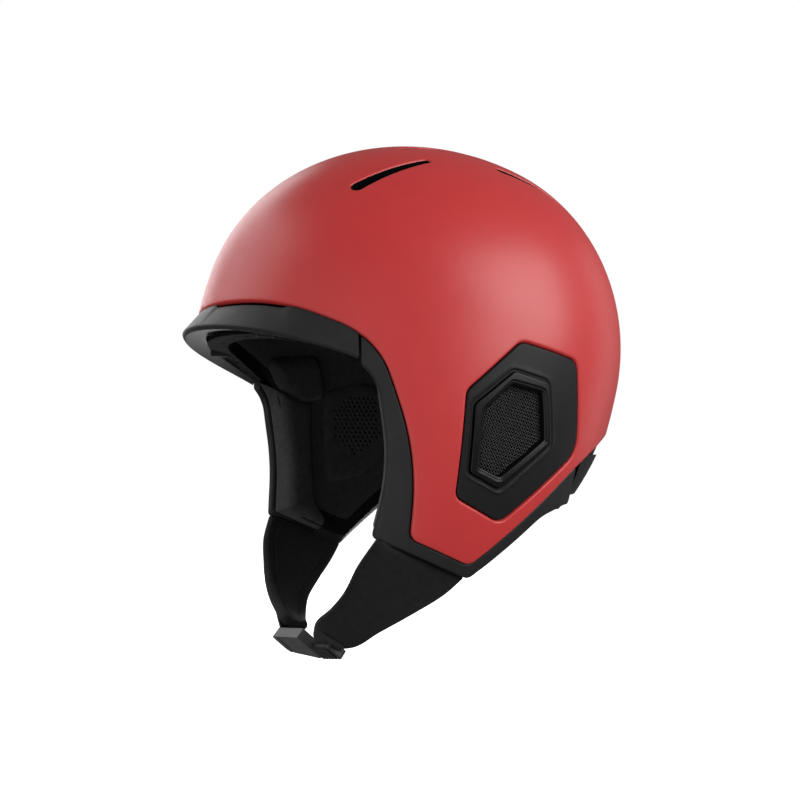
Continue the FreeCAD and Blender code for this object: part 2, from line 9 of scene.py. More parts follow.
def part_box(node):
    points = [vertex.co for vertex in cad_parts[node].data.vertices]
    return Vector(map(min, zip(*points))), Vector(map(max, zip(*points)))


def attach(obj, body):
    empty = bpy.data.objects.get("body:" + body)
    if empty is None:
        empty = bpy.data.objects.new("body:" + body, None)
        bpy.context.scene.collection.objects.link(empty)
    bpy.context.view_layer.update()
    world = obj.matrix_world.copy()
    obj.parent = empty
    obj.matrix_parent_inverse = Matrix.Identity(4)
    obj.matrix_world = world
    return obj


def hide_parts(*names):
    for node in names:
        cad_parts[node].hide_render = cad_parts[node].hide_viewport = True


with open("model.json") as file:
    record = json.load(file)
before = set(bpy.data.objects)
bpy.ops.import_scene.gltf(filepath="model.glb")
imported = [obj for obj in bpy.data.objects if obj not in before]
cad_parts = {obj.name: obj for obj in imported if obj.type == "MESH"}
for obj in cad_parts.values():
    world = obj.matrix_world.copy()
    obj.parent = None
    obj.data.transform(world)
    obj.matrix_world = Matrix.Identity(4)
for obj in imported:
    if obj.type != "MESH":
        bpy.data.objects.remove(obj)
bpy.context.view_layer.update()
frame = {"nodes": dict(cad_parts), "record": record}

# Lengths in this script are millimetres in the row frame, and every mesh is made in metres.
MM = 0.001
X, Y, Z = np.eye(3)

# ---- the helmet's dome, four quarter ellipsoids that meet smoothly ----
SHELL_LOW, SHELL_HIGH = (np.array(corner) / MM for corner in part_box("outer_shell"))
HALF_WIDTH = (SHELL_HIGH[0] - SHELL_LOW[0]) / 2
FRONT, REAR, CROWN, SKIRT = 136.0, 109.0, 118.0, 196.0  # half axes
NAPE_SKIRT = 135.0  # the lower half axis under the shell's rear edge
PITCH = radians(16.4)
CORE = np.array([0.0, -10.0, -40.0])  # rays from here meet every skin once
MEAN_R = 115.0  # from the core to the dome, on average

# Outlines in the side view: y, z and corner radius.
SHELL_EDGE = [
    (-200, 20.5, 0), (-118, 16.0, 90), (-77, -5.5, 42), (-59.0, -60, 160), (-58.0, -97.5, 6),
    (-27.0, -111.5, 6), (36, -63.5, 160), (74, -47, 80), (200, -46, 0),
]
TRIM_EDGE = [
    (-200, 6, 0), (-96, -7.5, 30), (-77.5, -23, 24), (-71.0, -64, 120), (-75.0, -97.5, 3),
    (-25.5, -119.5, 5), (14, -90.5, 30), (38, -84.0, 25), (54, -91, 6), (200, -94, 0),
]
HEX_WINDOW = [
    (-9.4, -4.5, 7), (26.5, -12.0, 7), (33.0, -58.0, 14),
    (-14.5, -92.0, 8), (-39.5, -79.0, 6), (-37.5, -29.0, 7),
]
HEX_FRAME = [
    (-13.4, -20.0, 3), (6.0, -24.5, 3), (10.5, -54.0, 3),
    (-17.3, -75.0, 3), (-33.5, -67.0, 3), (-33.0, -35.5, 3),
]
HEX_MESH = [
    (-14.0, -25.5, 2), (3.3, -29.0, 2), (6.6, -51.5, 2),
    (-18.0, -69.5, 2), (-29.0, -64.5, 2), (-28.0, -38.5, 2),
]
SEAM_Y = -83.6  # where the side trims meet the peak
NAPE_Y = 36.0  # where they meet the nape panel
CREASE_Y = -44.0  # crease across the cheek lining
SHELL_T = 2.5
VENTS = [(66.0, -76.5, -38.0), (43.0, -39.0, 6.0), (67.0, 9.0, 50.0)]  # x, front y, rear y
VENT_WIDTH, VENT_TAPER = 7.2, 0.62  # at the front end, and the rear end's share of it


def unit(v):
    v = np.asarray(v, float)
    return v / np.linalg.norm(v, axis=-1, keepdims=True)


def level(points, inset=0.0, skirt=SKIRT):
    """1 on the dome's surface at that inset, less inside it."""
    c, s = cos(PITCH), sin(PITCH)
    x, y, z = points[..., 0], points[..., 1], points[..., 2]
    along, up = c * y - s * z, s * y + c * z
    long_axis = np.where(along < 0, FRONT, REAR) - inset
    tall_axis = np.where(up > 0, CROWN, skirt) - inset
    return np.sqrt((x / (HALF_WIDTH - inset)) ** 2 + (along / long_axis) ** 2 + (up / tall_axis) ** 2)


def cast(starts, directions, inset=0.0, skirt=SKIRT):
    """Where rays from inside the dome leave it."""
    near = np.zeros(len(directions))
    far = np.full(len(directions), 320.0)
    for _ in range(44):
        middle = (near + far) / 2
        inside = level(starts + directions * middle[:, None], inset, skirt) < 1
        near, far = np.where(inside, middle, near), np.where(inside, far, middle)
    return starts + directions * near[:, None]


def normals(points, skirt=SKIRT):
    """The dome's outward normals, from finite differences."""
    step = 0.05
    slope = [level(points + a * step, 0, skirt) - level(points - a * step, 0, skirt) for a in (X, Y, Z)]
    return unit(np.stack(slope, axis=-1))


def to_flat(points):
    """The dome's map: angle from the +X pole and direction round it, seen from the core."""
    d = unit(points - CORE)
    turn = np.arctan2(d[:, 2], d[:, 1])
    away = np.arccos(np.clip(d[:, 0], -1, 1))
    return np.stack([away * np.cos(turn), away * np.sin(turn)], axis=-1)


def from_flat(flat, inset=0.0, skirt=SKIRT):
    away = np.linalg.norm(flat, axis=-1)
    turn = np.arctan2(flat[:, 1], flat[:, 0])
    d = np.stack([np.cos(away), np.sin(away) * np.cos(turn), np.sin(away) * np.sin(turn)], axis=-1)
    return cast(CORE, d, np.broadcast_to(inset, away.shape), skirt)


# ---- outlines ----
def rounded(corners, closed=True, step=1.5):
    """Polyline through the corners, each rounded to its own radius, with points about a step apart."""
    corners = [(np.array(c[:2], float), c[2]) for c in corners]
    points = []
    for i, (here, radius) in enumerate(corners):
        if radius <= 0:
            points.append(here)
            continue
        before = unit(corners[i - 1][0] - here)
        after = unit(corners[(i + 1) % len(corners)][0] - here)
        half = acos(np.clip(before @ after, -1, 1)) / 2
        centre = here + unit(before + after) * radius / sin(half)
        start, end = here + before * radius / tan(half), here + after * radius / tan(half)
        count = max(4, int(radius * (pi - 2 * half) / step))
        a, b = start - centre, end - centre
        total = atan2(a[0] * b[1] - a[1] * b[0], a @ b)
        turned = np.array([-a[1], a[0]])
        for k in range(count + 1):
            t = total * k / count
            points.append(centre + a * cos(t) + turned * sin(t))
    if closed:
        points.append(points[0])
    return resample(np.array(points), step, closed)


def resample(points, step, closed=False):
    """The same line with extra points, so that no stretch is longer than a step."""
    out = []
    for a, b in zip(points[:-1], points[1:]):
        count = max(1, int(ceil(np.linalg.norm(b - a) / step)))
        out += [a + (b - a) * k / count for k in range(count)]
    if not closed:
        out.append(points[-1])
    return np.array(out)


def tangents(line, closed):
    """Direction of the line at each of its points, of any length."""
    ahead = np.roll(line, -1, axis=0) - np.roll(line, 1, axis=0)
    if not closed:
        ahead[0], ahead[-1] = line[1] - line[0], line[-1] - line[-2]
    return ahead


def offset(line, distance, closed=True):
    """The line moved sideways, to its left when the distance is positive."""
    ahead = tangents(line, closed)
    return line + unit(np.stack([-ahead[:, 1], ahead[:, 0]], axis=-1)) * distance


def on_middle_plane(side_points):
    return np.stack([np.zeros(len(side_points)), side_points[:, 0], side_points[:, 1]], axis=-1)


def on_dome(side_points, inset=0.0, skirt=SKIRT):
    """Points of a side view, put on the +X side of the dome."""
    starts = on_middle_plane(side_points)
    return cast(starts, np.broadcast_to(X, starts.shape), inset, skirt)


def inside_view(side_points, skirt=SKIRT):
    return level(on_middle_plane(side_points), 0.0, skirt) < 0.9999


def run_along(points):
    """Length of a 3-D line up to each of its points."""
    return np.concatenate([[0], np.cumsum(np.linalg.norm(np.diff(points, axis=0), axis=1))])


def read_line(line, run, at):
    """Values of a 3-D line at those lengths along it."""
    return np.stack([np.interp(at, run, line[:, k]) for k in range(3)], axis=-1)


def clipped(line, skirt=SKIRT):
    """The stretch of a side-view line over the dome, from the middle plane to it, evenly spaced."""
    line = resample(line, 0.5)
    keep = np.nonzero(inside_view(line, skirt))[0]
    first, last = keep[0], keep[-1]
    points = on_dome(line[first:last + 1], 0.0, skirt)
    for at_start, a, b in ((True, line[first], line[first - 1]), (False, line[last], line[last + 1])):
        for _ in range(40):
            middle = (a + b) / 2
            a, b = (middle, b) if inside_view(middle[None], skirt)[0] else (a, middle)
        points = np.insert(points, 0 if at_start else len(points), [0.0, *a], axis=0)
    run = run_along(points)
    return read_line(points, run, np.linspace(0, run[-1], max(2, int(round(run[-1] / 1.5))) + 1))


def middle_arc(start, end, way, skirt=SKIRT):
    """Points of the middle plane from one end to the other, going round above (+1) or below (-1)."""
    angle = [atan2(p[2] - CORE[2], p[1] - CORE[1]) for p in (start, end)]
    turn = (angle[1] - angle[0]) % (2 * pi)
    if way < 0:
        turn -= 2 * pi
    count = int(abs(turn) * 110 / 2.0)
    at = angle[0] + turn * np.arange(1, count) / count
    return cast(CORE, on_middle_plane(np.stack([np.cos(at), np.sin(at)], axis=-1)), 0.0, skirt)


# ---- mesh making ----
def add_object(name, data):
    made = bpy.data.objects.new(name, data)
    bpy.context.scene.collection.objects.link(made)
    return made


def make_object(name, verts, faces, material, body, slot, sharp=0):
    """Piece that rides a body. Edges of more than sharp degrees stay sharp, unless sharp is 0."""
    mesh = bpy.data.meshes.new(name)
    mesh.from_pydata((np.asarray(verts) * MM).tolist(), [], [tuple(int(i) for i in f) for f in faces])
    mesh.validate()
    mesh.materials.append(material)
    mesh.shade_smooth()
    if sharp:
        mesh.set_sharp_from_angle(angle=radians(sharp))
    piece = add_object(name, mesh)
    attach(piece, body)
    return piece


def join_mirror(verts, faces, weld=0.02):
    """The mesh with its mirror image across the middle plane, welded there."""
    verts = np.asarray(verts, float)
    verts[np.abs(verts[:, 0]) < weld, 0] = 0.0
    on_plane = verts[:, 0] == 0.0
    twin = np.where(on_plane, np.arange(len(verts)), 0)
    fresh = np.nonzero(~on_plane)[0]
    twin[fresh] = len(verts) + np.arange(len(fresh))
    both = np.vstack([verts, verts[fresh] * [-1, 1, 1]])
    return both, list(faces) + [tuple(twin[i] for i in reversed(f)) for f in faces]


def flipped(verts, faces):
    return np.asarray(verts) * [-1, 1, 1], [tuple(reversed(f)) for f in faces]


def on_side(side, verts, faces):
    """A left-hand form, or its mirror image for the right."""
    return flipped(verts, faces) if side == "right" else (verts, faces)


def distance_to(points, line, closed):
    """Shortest distance from each point to a 3-D polyline."""
    a, b = (line, np.roll(line, -1, axis=0)) if closed else (line[:-1], line[1:])
    best = np.full(len(points), 1e9)
    ab = b - a
    length = np.maximum((ab ** 2).sum(-1), 1e-9)
    for k in range(0, len(points), 800):
        p = points[k:k + 800, None]
        t = np.clip(((p - a) * ab).sum(-1) / length, 0, 1)
        d = np.linalg.norm(p - (a + ab * t[..., None]), axis=-1)
        best[k:k + 800] = d.min(axis=1)
    return best


def within(points, loop):
    """Even-odd test of flat points against a closed loop."""
    x, y = points[:, 0], points[:, 1]
    inside = np.zeros(len(points), bool)
    for a, b in zip(loop, np.roll(loop, -1, axis=0)):
        crosses = (a[1] > y) != (b[1] > y)
        if crosses.any():
            at = (b[0] - a[0]) * (y - a[1]) / (b[1] - a[1] + 1e-15) + a[0]
            inside ^= crosses & (x < at)
    return inside


def rounding(distance, radius):
    """How far a rounded edge falls away at a distance from it."""
    reach = np.clip(radius - distance, 0, radius)
    return radius - np.sqrt(np.maximum(radius ** 2 - reach ** 2, 0))


def in_region(points, loops):
    """Which flat points lie inside the first loop and outside the others."""
    inside = within(points, loops[0])
    for hole in loops[1:]:
        inside &= ~within(points, hole)
    return inside


def edge_line(loop):
    """The loop and whether it is closed, less its stretch on the middle plane if it has one."""
    on_plane = np.abs(loop[:, 0]) < 1e-3
    if not on_plane.any():
        return loop, True
    start = int(np.nonzero(on_plane & ~np.roll(on_plane, -1))[0][0])
    stop = int(np.nonzero(np.roll(on_plane, -start)[1:])[0][0]) + 2
    return np.roll(loop, -start, axis=0)[:stop], False


def slab(loops, top, bottom, spacing=2.5, rows=(), skirt=SKIRT, straight=False):
    """Solid skin over a region of the dome.

    loops are closed 3-D lines on the dome, the outer one first. top and bottom give the inset of the
    two faces from the distances to each loop. rows are distances from the edges that get points of
    their own. A straight slab's faces lie over each other along X, and any other's along the rays
    from the core. Stretches of loop on the middle plane stay open.
    """
    flat_loops = [to_flat(loop) for loop in loops]
    edge_lines = [edge_line(loop) for loop in loops]
    extra = [np.zeros((0, 2))]
    for line, closed in edge_lines:
        side = unit(np.cross(normals(line, skirt), unit(tangents(line, closed))))
        probe = to_flat(line) + unit(to_flat(line + side * 0.5) - to_flat(line)) * 0.004
        if in_region(probe, flat_loops).mean() < 0.5:
            side = -side
        for row in rows:
            moved = line + side * row
            if not closed:
                moved = moved[moved[:, 0] > 0.25 * spacing]
            extra.append(to_flat(moved))
    extra = np.vstack(extra)
    extra = extra[in_region(extra, flat_loops)]

    low, high = flat_loops[0].min(0), flat_loops[0].max(0)
    pitch = spacing / MEAN_R
    rows_up = np.arange(low[1], high[1] + pitch, pitch * 0.866)
    lattice = np.array([(u + (k % 2) * pitch / 2, v) for k, v in enumerate(rows_up)
                        for u in np.arange(low[0], high[0] + pitch, pitch)])
    lattice = lattice[in_region(lattice, flat_loops)]
    places = from_flat(lattice, 0.0, skirt)
    clear = max(rows, default=0) + spacing * 0.45
    keep = places[:, 0] > spacing * 0.4
    for line, closed in edge_lines:
        keep &= distance_to(places, line, closed) > clear

    flat = np.vstack(flat_loops + [extra, lattice[keep]])
    edges, base = [], 0
    for loop in flat_loops:
        edges += [(base + i, base + (i + 1) % len(loop)) for i in range(len(loop))]
        base += len(loop)
    found = geometry.delaunay_2d_cdt([Vector(p) for p in flat], edges, [], 0, 1e-7)
    coords = np.array([tuple(v) for v in found[0]])
    triangles = np.array([f for f in found[2] if len(f) == 3])
    triangles = triangles[in_region(coords[triangles].mean(axis=1), flat_loops)]

    surface = from_flat(coords, 0.0, skirt)
    gaps = [distance_to(surface, line, closed) for line, closed in edge_lines]
    outer = from_flat(coords, top(gaps, surface), skirt)
    inset = bottom(gaps, surface)
    inner = on_dome(surface[:, 1:], inset) if straight else from_flat(coords, inset, skirt)
    count = len(coords)
    faces = [tuple(t) for t in triangles] + [tuple(count + i for i in reversed(t)) for t in triangles]
    used = dict.fromkeys(pair for a, b, c in triangles for pair in ((a, b), (b, c), (c, a)))
    for i, j in used:
        on_plane = abs(surface[i, 0]) < 1e-2 and abs(surface[j, 0]) < 1e-2
        if (j, i) not in used and not on_plane:
            faces.append((j, i, count + i, count + j))
    return np.vstack([outer, inner]), faces


def ring_faces(count, size, joined=False):
    """Quads between rings of vertices in a row, and from the last to the first if joined."""
    faces = []
    for k in range(count if joined else count - 1):
        a, b = k * size, (k + 1) % count * size
        faces += [(a + j, a + (j + 1) % size, b + (j + 1) % size, b + j) for j in range(size)]
    return faces


def cushion_faces(rows, columns):
    """Quads of a grid's upper and lower layer, which share the vertices of its border."""
    index = np.arange(rows * columns).reshape(rows, columns)
    low = index.copy()
    low[1:-1, 1:-1] += rows * columns
    faces = []
    for k in range(rows - 1):
        for j in range(columns - 1):
            faces.append((index[k, j], index[k, j + 1], index[k + 1, j + 1], index[k + 1, j]))
            faces.append((low[k, j], low[k + 1, j], low[k + 1, j + 1], low[k, j + 1]))
    return faces


def both_sides(name, verts, faces, material, slot, sharp=0):
    made = []
    for side in ("left", "right"):
        form = on_side(side, verts, faces)
        made.append(make_object(f"{name}_{side}_skin", *form, material, "helmet", slot, sharp))
        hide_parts(f"{name}_{side}")
    return made


# ---- materials ----
def put(node, values):
    """Set a shader node's inputs by name."""
    for socket, value in values.items():
        node.inputs[socket].default_value = value
    return node


def material(name, colour, roughness, mottle=0.15, mottle_scale=90, grain=(2500, 0.12), weave=None,
             cells=None, sheen=0.0, metallic=0.0, specular=0.5):
    """Procedural surface: mottled colour, uneven gloss, and a bump of grain, weave or foam beads.

    grain is (noise scale, height). weave is (pitch in mm, height, axes), and cells is (scale, height).
    """
    made = bpy.data.materials.new(name)
    made.use_nodes = True
    nodes, link = made.node_tree.nodes, made.node_tree.links.new
    surface = nodes["Principled BSDF"]
    place = nodes.new("ShaderNodeTexCoord").outputs["Object"]

    def texture(kind, **values):
        node = put(nodes.new("ShaderNodeTex" + kind), values)
        link(place, node.inputs["Vector"])
        return node

    def noise(scale, detail):
        return texture("Noise", Scale=scale, Detail=detail).outputs["Fac"]

    def maths(operation, a, b):
        node = nodes.new("ShaderNodeMath")
        node.operation = operation
        for socket, value in zip(node.inputs, (a, b)):
            if isinstance(value, (int, float)):
                socket.default_value = value
            else:
                link(value, socket)
        return node.outputs[0]

    ramp = nodes.new("ShaderNodeValToRGB")
    for element, at, gain in zip(ramp.color_ramp.elements, (0.3, 0.7), (1 - mottle, 1 + mottle)):
        element.position = at
        element.color = (*(min(1.0, c * gain) for c in colour), 1)
    link(noise(mottle_scale, 5.0), ramp.inputs["Fac"])
    link(ramp.outputs["Color"], surface.inputs["Base Color"])

    gloss = put(nodes.new("ShaderNodeMapRange"), {"To Min": roughness - 0.06, "To Max": roughness + 0.06})
    link(noise(mottle_scale * 3, 4.0), gloss.inputs["Value"])
    link(gloss.outputs["Result"], surface.inputs["Roughness"])

    height = maths("MULTIPLY", noise(grain[0], 2.0), grain[1])
    if weave:
        pitch, depth, axes = weave
        pattern = None
        for axis in axes:
            node = texture("Wave", Scale=pi / 10 / (pitch * MM), Distortion=0.0)
            node.bands_direction = axis
            bands = node.outputs["Fac"]
            pattern = bands if pattern is None else maths("MULTIPLY", pattern, bands)
        height = maths("ADD", height, maths("MULTIPLY", pattern, depth))
    if cells:
        beads = texture("Voronoi", Scale=cells[0]).outputs["Distance"]
        height = maths("ADD", height, maths("MULTIPLY", beads, -cells[1]))
    bump = put(nodes.new("ShaderNodeBump"), {"Distance": MM, "Strength": 1.0})
    link(height, bump.inputs["Height"])
    link(bump.outputs["Normal"], surface.inputs["Normal"])

    put(surface, {"Metallic": metallic, "Specular IOR Level": specular})
    put(surface, {"Sheen Weight": sheen, "Sheen Roughness": 0.45})
    return made


RED = material("coral_red_satin", (0.50, 0.034, 0.034), 0.38, mottle=0.02, grain=(3800, 0.015),
               specular=0.42)
TRIM = material("soft_touch_trim", (0.0145, 0.0145, 0.015), 0.50, mottle=0.12, grain=(3000, 0.06),
                specular=0.25)
FRAME = material("vent_frame_black", (0.0026, 0.0026, 0.0028), 0.34, mottle=0.1, grain=(2600, 0.06),
                 specular=0.24)
PANEL = material("fine_grain_black", (0.0075, 0.0072, 0.008), 0.50, grain=(2600, 0.10), specular=0.22)
NAPE = material("nape_black", (0.009, 0.009, 0.0095), 0.5, grain=(2600, 0.08), specular=0.25)
MESH = material("acoustic_mesh_thread", (0.010, 0.010, 0.0105), 0.42, grain=(5000, 0.05), specular=0.4)
LINING = material("brushed_lining", (0.021, 0.021, 0.022), 0.85, mottle=0.25, mottle_scale=300,
                  grain=(3500, 0.25), weave=(0.7, 0.10, "YZ"), sheen=0.12, specular=0.2)
NEOPRENE = material("neoprene_facing", (0.0095, 0.0095, 0.0098), 0.78, mottle=0.2, mottle_scale=260,
                    grain=(4200, 0.12), weave=(0.6, 0.12, "YZ"), sheen=0.06, specular=0.15)
FOAM = material("bead_foam", (0.0035, 0.0035, 0.0036), 0.8, mottle=0.3, grain=(1500, 0.1),
                cells=(330.0, 0.9), specular=0.1)
WEBBING = material("strap_webbing", (0.011, 0.011, 0.012), 0.7, grain=(3500, 0.1), weave=(0.9, 0.35, "XY"))
GREY = material("grey_buckle_plastic", (0.070, 0.070, 0.073), 0.55, grain=(2600, 0.1), specular=0.3)
BLACK = material("black_moulding", (0.008, 0.008, 0.0085), 0.45, grain=(2600, 0.08))
STEEL = material("plated_steel", (0.5, 0.5, 0.52), 0.32, mottle=0.05, metallic=1.0, grain=(6000, 0.03))


# ---- shell ----
ROWS = [0.076, 0.293, 0.617, 1.0]  # rows over a rounded edge, as shares of its radius


def vent_loop(x, front_y, rear_y):
    """Edge of one vent slot on the dome, rounder in front and narrower behind."""
    starts = np.array([[x, front_y, 0.0], [x, rear_y, 0.0], [x, (front_y + rear_y) / 2, 0.0]])
    front, rear, middle = cast(starts, np.tile(Z, (3, 1)))
    along = unit(rear - front)
    out = normals(middle[None])[0]
    out = unit(out - along * (out @ along))
    aside = np.cross(out, along)
    length = np.linalg.norm(rear - front)
    wide, slim = VENT_WIDTH / 2, VENT_WIDTH / 2 * VENT_TAPER

    def arc(radius, centre, first, steps):
        angles = [first + pi * k / steps for k in range(steps + 1)]
        return [(radius * cos(t) + centre, radius * sin(t)) for t in angles]

    def edge(way, shares):
        return [(length * (f - 0.5), way * (wide + (slim - wide) * f)) for f in shares]

    shares = [k / 20 for k in range(1, 20)]
    outline = arc(wide, -length / 2, pi / 2, 12) + edge(-1, shares)
    outline += arc(slim, length / 2, -pi / 2, 8) + edge(1, shares[::-1])
    starts = np.array([middle + along * u + aside * v - out * 30 for u, v in outline])
    return cast(starts, np.tile(out, (len(starts), 1)))


def make_shell():
    edge = clipped(rounded(SHELL_EDGE, closed=False, step=1.0))
    crown = middle_arc(edge[-1], edge[0], 1)
    loops = [np.vstack([edge, crown]), on_dome(rounded(HEX_WINDOW))] + [vent_loop(*vent) for vent in VENTS]

    def top(gaps, at):
        return rounding(gaps[0], 1.1) + rounding(gaps[1], 0.9) + sum(rounding(g, 0.8) for g in gaps[2:])

    verts, faces = slab(loops, top, lambda gaps, at: SHELL_T, 2.6, [1.1 * r for r in ROWS])
    skin = make_object("shell_skin", *join_mirror(verts, faces), RED, "helmet", "shell_red", sharp=50)
    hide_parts("outer_shell")


def make_vent_sleeves():
    """Black sleeve inside each vent slot, from just under the shell's lip down into the foam."""
    parts = []
    for vent in VENTS:
        loop = vent_loop(*vent)
        out = normals(loop)
        inward = unit(np.cross(out, tangents(loop, True)))
        if (inward * (loop.mean(axis=0) - loop)).sum() < 0:
            inward = -inward
        section = ((0.1, 0.75), (0.7, 0.75), (0.7, 9.0), (0.1, 9.0))  # inwards and down
        verts = np.vstack([loop + inward * aside - out * depth for aside, depth in section])
        faces = ring_faces(len(section), len(loop), joined=True)
        parts += [(verts, faces), flipped(verts, faces)]
    make_object("vent_sleeves", *merged(parts), FRAME, "helmet", "panel_black", sharp=40)


# ---- ear panel ----
def bead(distance, centre, half_width):
    """A smooth ridge, 1 at its centre and 0 beyond its half width."""
    t = np.clip(np.abs(distance - centre) / half_width, 0, 1)
    return 0.5 + 0.5 * np.cos(pi * t)


def make_side_panels():
    edge, hole = offset(rounded(HEX_WINDOW, step=1.2), -0.35), offset(rounded(HEX_FRAME, step=1.0), 0.25)

    def top(gaps, at):
        rim, hole = gaps
        step = 0.75 * (1 - np.clip((hole - 1.6) / 0.5, 0, 1))
        return 0.5 + rounding(rim, 1.3) + rounding(hole, 0.5) - 0.55 * bead(hole, 2.0, 0.9) + 0.4 * step

    rows = [0.1, 0.3, 0.5, 0.8, 1.1, 1.4, 1.7, 2.0, 2.3, 2.6, 2.95]
    verts, faces = slab([on_dome(edge), on_dome(hole)], top, lambda gaps, at: 7.0, 2.0, rows)
    both_sides("side_panel", verts, faces, PANEL, "panel_black", sharp=60)


def make_vent_frames():
    loops = [on_dome(rounded(HEX_FRAME, step=1.0)), on_dome(rounded(HEX_MESH, step=1.0))]

    def top(gaps, at):
        band = -0.7 + rounding(gaps[0], 0.6) + rounding(gaps[1], 0.5)
        return band + 0.7 * bead(gaps[1], 1.35, 0.6) + 0.9 * (1 - np.clip(gaps[1] / 1.35, 0, 1))

    rows = [0.1, 0.3, 0.6, 0.9, 1.15, 1.35, 1.6, 1.9, 2.2]
    verts, faces = slab(loops, top, lambda gaps, at: 5.0, 1.2, rows)
    both_sides("ear_vent_frame", verts, faces, FRAME, "panel_black", sharp=60)


def tube(points, radius, sides=6, up=X):
    """Vertices and faces of a round tube along points, with its ends closed."""
    ahead = unit(np.gradient(points, axis=0))
    side = unit(np.cross(ahead, up))
    over = np.cross(side, ahead)
    angles = [2 * pi * j / sides for j in range(sides)]
    verts = [point + (a * cos(t) + b * sin(t)) * radius
             for point, a, b in zip(points, side, over) for t in angles]
    ends = [tuple(range(sides))[::-1], tuple(range(len(verts) - sides, len(verts)))]
    return verts, ring_faces(len(points), sides) + ends


def merged(parts):
    verts, faces = [], []
    for v, f in parts:
        base = len(verts)
        verts.extend(v)
        faces.extend(tuple(base + i for i in face) for face in f)
    return np.array(verts), faces


def make_ear_meshes():
    """Plain-woven mesh, thread by thread, over the hexagon."""
    pitch, swing, radius, step, inset = 1.15, 0.24, 0.27, 0.29, 3.3
    outline = offset(rounded(HEX_MESH, step=1.0), -0.2)
    turn = radians(32)
    axes = np.array([[cos(turn), sin(turn)], [-sin(turn), cos(turn)]])
    local = outline @ axes.T
    threads = []
    for way in (0, 1):
        cross = 1 - way
        low, high = local[:, cross].min(), local[:, cross].max()
        for k, across in enumerate(np.arange(low + pitch / 2, high, pitch)):
            sides = zip(local, np.roll(local, -1, axis=0))
            hits = [p[way] + (q[way] - p[way]) * (across - p[cross]) / (q[cross] - p[cross])
                    for p, q in sides if (p[cross] > across) != (q[cross] > across)]
            if len(hits) < 2 or max(hits) - min(hits) < 2:
                continue
            run = np.arange(min(hits), max(hits), step)
            flat = np.zeros((len(run), 2))
            flat[:, way], flat[:, cross] = run, across
            wave = np.sin(pi * run / pitch + pi * k + pi * way)
            threads.append(tube(on_dome(flat @ axes, inset) + X * (swing * wave)[:, None], radius, 5))
    verts, faces = merged(threads)
    both_sides("ear_mesh", verts, faces, MESH, "mesh_black")


# ---- trims and nape ----
def between(line, low_y, high_y):
    """The stretch of a side-view line between two y values, with its ends put exactly there."""
    keep = np.nonzero((line[:, 0] > low_y) & (line[:, 0] < high_y))[0]
    first, last = keep[0], keep[-1]

    def at(a, b, y):
        return a + (b - a) * (y - a[0]) / (b[0] - a[0])

    start, end = at(line[first - 1], line[first], low_y), at(line[last], line[last + 1], high_y)
    return np.vstack([start, line[first:last + 1], end])


TRIM_T, TRIM_STEP = 5.5, 13.0  # depth in front of the crease, and what is added behind it
TRIM_LINE = rounded(TRIM_EDGE, closed=False, step=1.2)
SHELL_LINE = rounded(SHELL_EDGE, closed=False, step=1.2)


def make_side_trims():
    low, high = SEAM_Y + 0.2, NAPE_Y - 0.2
    outer_run = between(TRIM_LINE, low, high)
    shell_run = between(offset(SHELL_LINE, -0.4, closed=False), low, high)
    loop = resample(np.vstack([outer_run, shell_run[::-1], outer_run[:1]]), 1.5, True)
    free = on_dome(outer_run)
    hidden = on_dome(shell_run)

    def top(gaps, at):
        edge, seam = distance_to(at, free, False), distance_to(at, hidden, False)
        ends = np.minimum(at[:, 1] - low, high - at[:, 1])
        return 0.7 + rounding(edge, 2.2) + rounding(seam, 0.9) + rounding(np.maximum(ends, 0), 0.5)

    def bottom(gaps, at):
        behind = np.clip((at[:, 1] - CREASE_Y) / 2.5, 0, 1)
        return TRIM_T + TRIM_STEP * behind - rounding(distance_to(at, free, False), 2.2)

    rows = [0.17, 0.4, 0.65, 1.0, 1.35, 1.75, 2.2]
    verts, faces = slab([on_dome(loop)], top, bottom, 2.2, rows)
    both_sides("side_trim", verts, faces, TRIM, "trim_black", sharp=50)


def make_nape():
    low = NAPE_Y + 0.2
    runs = []
    for line, shift in ((SHELL_LINE, -0.5), (TRIM_LINE, 0.0)):
        points = clipped(offset(line, shift, closed=False), NAPE_SKIRT)
        points = points[points[:, 1] > low + 0.5]
        start = points[0].copy()
        start[1] = low
        lifted = on_dome(np.array([[low, start[2]]]), 0.0, NAPE_SKIRT)
        runs.append(np.vstack([lifted, points]))
    upper, lower = runs
    down = middle_arc(upper[-1], lower[-1], -1, skirt=NAPE_SKIRT)
    side = on_dome(resample(np.array([lower[0][1:], upper[0][1:]]), 1.5)[1:-1], 0.0, NAPE_SKIRT)
    loop = np.vstack([upper, down, lower[::-1], side])

    def top(gaps, at):
        return 1.3 + rounding(distance_to(at, lower, False), 2.0) + rounding(gaps[0], 0.8)

    verts, faces = slab([loop], top, lambda gaps, at: 4.3, 2.5, [0.15, 0.45, 0.8, 1.3, 2.0], NAPE_SKIRT)
    skin = make_object("nape_panel_skin", *join_mirror(verts, faces), NAPE, "helmet", "nape_black", sharp=50)
    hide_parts("nape_panel")


# ---- peak ----
PEAK_SEAM_Y = -83.9
PEAK_SWEEP = radians(52)
PEAK_FACE, PEAK_BACK = 0.8, 7.4  # insets of its front and back faces
PEAK_SIDE_Z, PEAK_RISE = -15.0, 20.5  # height of its lip at the sides, and its rise in front
PEAK_FLARE = 7.0  # reach of its lip in front
PROFILE_STEPS = 5
SLOT_FROM, SLOT_TO, SLOT_DEPTH = 19.0, 66.0, 1.9  # air slots above the peak, in x


